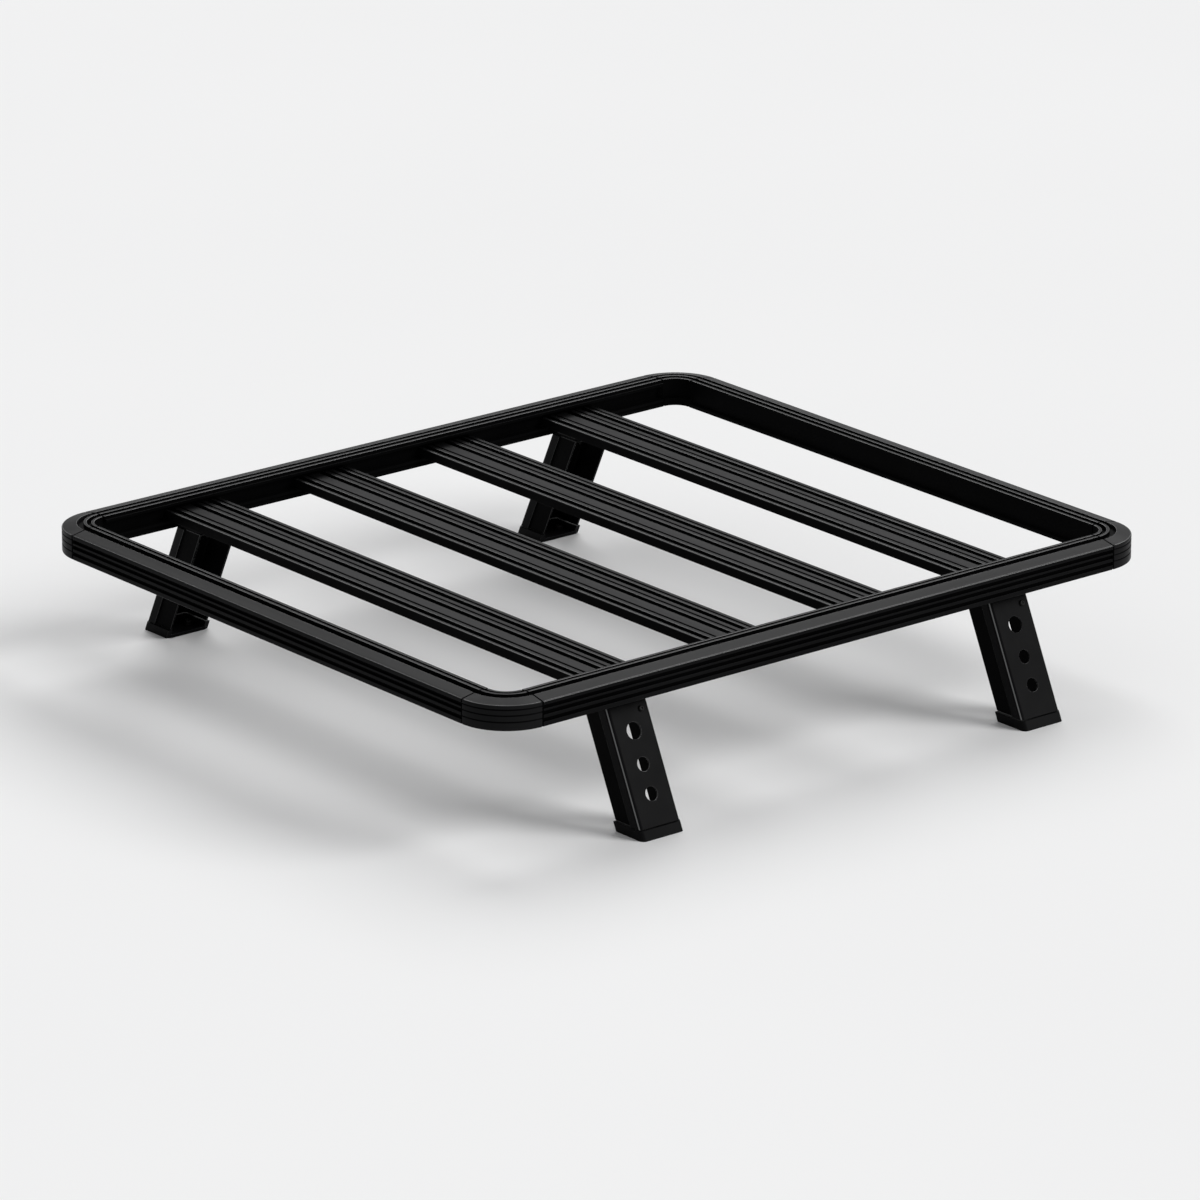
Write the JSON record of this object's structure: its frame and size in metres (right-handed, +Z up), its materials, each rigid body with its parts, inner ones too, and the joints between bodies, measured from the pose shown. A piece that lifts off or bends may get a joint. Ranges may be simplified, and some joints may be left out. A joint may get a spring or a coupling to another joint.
{
  "type": "truck bed rack",
  "caption": "Flat load tray of grooved rails and slotted slats on leaning legs with bolt-down feet, for carrying loads above a pickup bed.",
  "frame": {"origin": "on the level surface under the feet, below the middle of the tray", "axes": "+X along the truck towards its tail, +Y across it to its right, +Z up"},
  "size_m": [1.43, 1.3706, 0.27],
  "materials": {
    "rail": "satin black powder coat on extruded aluminium",
    "corner": "satin black powder coat on cast aluminium",
    "slat": "satin black powder coat on extruded aluminium",
    "leg": "satin black powder coat on folded metal",
    "leg_cover": "satin black powder coat on pressed metal",
    "foot": "satin black powder coat on cast metal"
  },
  "bodies": {
    "root": {"left_rail": "rail", "right_rail": "rail", "front_rail": "rail", "rear_rail": "rail", "front_left_corner": "corner", "front_right_corner": "corner", "rear_left_corner": "corner", "rear_right_corner": "corner", "slat_1": "slat", "slat_2": "slat", "slat_3": "slat", "slat_4": "slat", "front_left_leg_channel": "leg", "front_left_leg_cover": "leg_cover", "front_left_leg_bracket": "leg", "front_left_leg_foot": "foot", "front_right_leg_channel": "leg", "front_right_leg_cover": "leg_cover", "front_right_leg_bracket": "leg", "front_right_leg_foot": "foot", "rear_left_leg_channel": "leg", "rear_left_leg_cover": "leg_cover", "rear_left_leg_bracket": "leg", "rear_left_leg_foot": "foot", "rear_right_leg_channel": "leg", "rear_right_leg_cover": "leg_cover", "rear_right_leg_bracket": "leg", "rear_right_leg_foot": "foot"}
  },
  "joints": []
}
